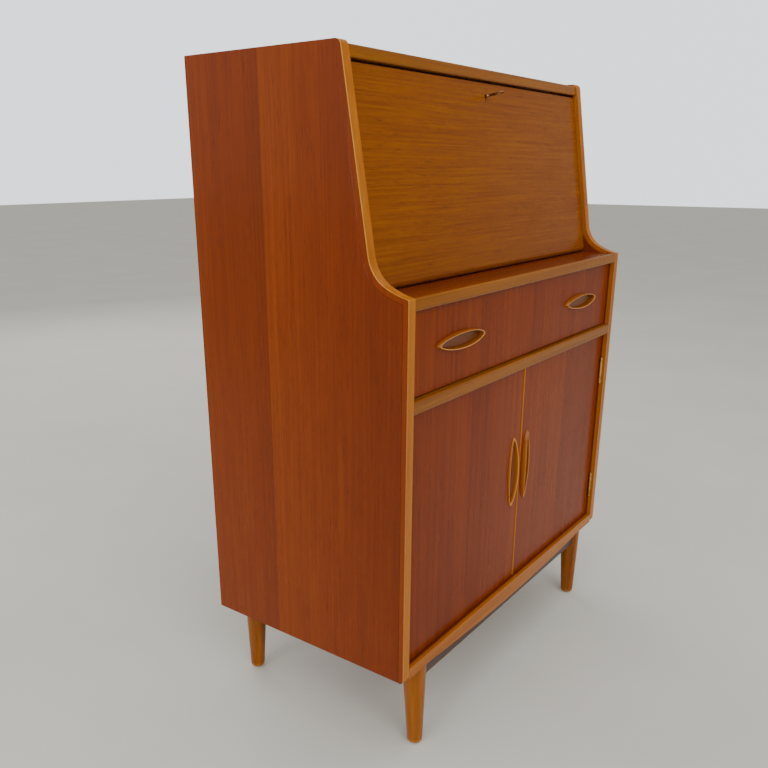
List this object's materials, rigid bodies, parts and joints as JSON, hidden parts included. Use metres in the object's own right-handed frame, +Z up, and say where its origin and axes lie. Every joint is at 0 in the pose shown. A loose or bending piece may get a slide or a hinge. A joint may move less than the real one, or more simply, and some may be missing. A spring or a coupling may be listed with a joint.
{
  "type": "secretary desk",
  "caption": "Wooden bureau on tapered legs with a sloping drop-front writing flap, a drawer under it and a cupboard with side-hinged doors.",
  "frame": {"origin": "on the floor under the middle of the case's width and depth", "axes": "+X to the desk's right as its user faces it, -Y out of the front where the flap, drawer and doors are, +Y to the back, +Z up"},
  "size_m": [0.764, 0.4, 1.067],
  "materials": {
    "case_veneer": "satin varnished veneer with upright grain",
    "front_veneer": "glossy varnished red-brown veneer",
    "lipping": "satin varnished golden solid wood",
    "leg_wood": "satin varnished light solid wood",
    "apron_wood": "dark stained solid wood",
    "inside_wood": "thinly varnished plain wood",
    "backing_board": "raw hardboard",
    "brass": "lacquered brass",
    "steel": "worn steel"
  },
  "bodies": {
    "cabinet": {"back_left_leg": "leg_wood", "back_panel": "backing_board", "back_right_leg": "leg_wood", "bottom_lipping": "lipping", "bottom_panel": "case_veneer", "cupboard_shelf": "inside_wood", "desk_floor": "inside_wood", "desk_shelf": "case_veneer", "drawer_divider_panel": "inside_wood", "flap_stop_rail": "lipping", "front_apron": "apron_wood", "front_left_leg": "leg_wood", "front_right_leg": "leg_wood", "left_door_lower_hinge_case_leaf": "brass", "left_door_upper_hinge_case_leaf": "brass", "left_drawer_runner": "inside_wood", "left_side_lipping": "lipping", "left_side_panel": "case_veneer", "left_stay_stud": "brass", "mid_rail": "lipping", "pigeonhole_left_divider": "inside_wood", "pigeonhole_left_end": "inside_wood", "pigeonhole_right_divider": "inside_wood", "pigeonhole_right_end": "inside_wood", "pigeonhole_top": "inside_wood", "right_door_lower_hinge_case_leaf": "brass", "right_door_upper_hinge_case_leaf": "brass", "right_drawer_runner": "inside_wood", "right_side_lipping": "lipping", "right_side_panel": "case_veneer", "right_stay_stud": "brass", "shelf_lipping": "lipping", "top_front_rail": "lipping", "top_panel": "case_veneer"},
    "flap": {"flap_panel": "front_veneer", "left_flap_pivot_pin": "brass", "right_flap_pivot_pin": "brass", "left_stay_bracket": "brass", "right_stay_bracket": "brass", "lock_case": "brass"},
    "left_stay": {"left_stay_arm": "brass"},
    "right_stay": {"right_stay_arm": "brass"},
    "lock_bolt": {"lock_bolt": "steel"},
    "key": {"key": "steel"},
    "drawer": {"drawer_front": "front_veneer", "drawer_left_side": "inside_wood", "drawer_right_side": "inside_wood", "drawer_back": "inside_wood", "drawer_bottom": "inside_wood", "drawer_left_handle": "lipping", "drawer_right_handle": "lipping"},
    "left_door": {"left_door_panel": "front_veneer", "left_door_handle": "lipping", "left_door_upper_hinge_door_leaf": "brass", "left_door_lower_hinge_door_leaf": "brass"},
    "right_door": {"right_door_panel": "front_veneer", "right_door_handle": "lipping", "right_door_edge_bead": "lipping", "right_door_upper_hinge_door_leaf": "brass", "right_door_lower_hinge_door_leaf": "brass"}
  },
  "joints": [
    {"name": "flap_hinge", "type": "hinge", "parent": "cabinet", "child": "flap", "pos_m": [0, -0.12439, 0.7575], "axis": [1, 0, 0], "range_deg": [0, 99.31]},
    {"name": "left_stay_pivot", "type": "hinge", "parent": "flap", "child": "left_stay", "pos_m": [-0.3584, -0.08291, 0.8807], "axis": [1, 0, 0], "range_deg": [-49.7, 0]},
    {"name": "right_stay_pivot", "type": "hinge", "parent": "flap", "child": "right_stay", "pos_m": [0.3584, -0.08291, 0.8807], "axis": [1, 0, 0], "range_deg": [-49.7, 0]},
    {"name": "key_turn", "type": "hinge", "parent": "flap", "child": "key", "pos_m": [0, -0.08122, 1.02081], "axis": [0, -0.9868, 0.1618], "range_deg": [0, 90]},
    {"name": "lock_bolt_slide", "type": "slide", "parent": "flap", "child": "lock_bolt", "axis": [0, 0.1618, 0.9868], "range_m": [0, 0.01]},
    {"name": "drawer_slide", "type": "slide", "parent": "cabinet", "child": "drawer", "axis": [0, -1, 0], "range_m": [0, 0.27]},
    {"name": "left_door_hinge", "type": "hinge", "parent": "cabinet", "child": "left_door", "pos_m": [-0.3605, -0.1935, 0.38], "axis": [0, 0, -1], "range_deg": [0, 110]},
    {"name": "right_door_hinge", "type": "hinge", "parent": "cabinet", "child": "right_door", "pos_m": [0.3605, -0.1935, 0.38], "axis": [0, 0, 1], "range_deg": [0, 110]}
  ],
  "couplings": [
    {"joint": "left_stay_pivot", "follows": "flap_hinge", "ratio": -0.5},
    {"joint": "right_stay_pivot", "follows": "flap_hinge", "ratio": -0.5},
    {"joint": "key_turn", "follows": "lock_bolt_slide", "rad_per_m": 157.07}
  ]
}
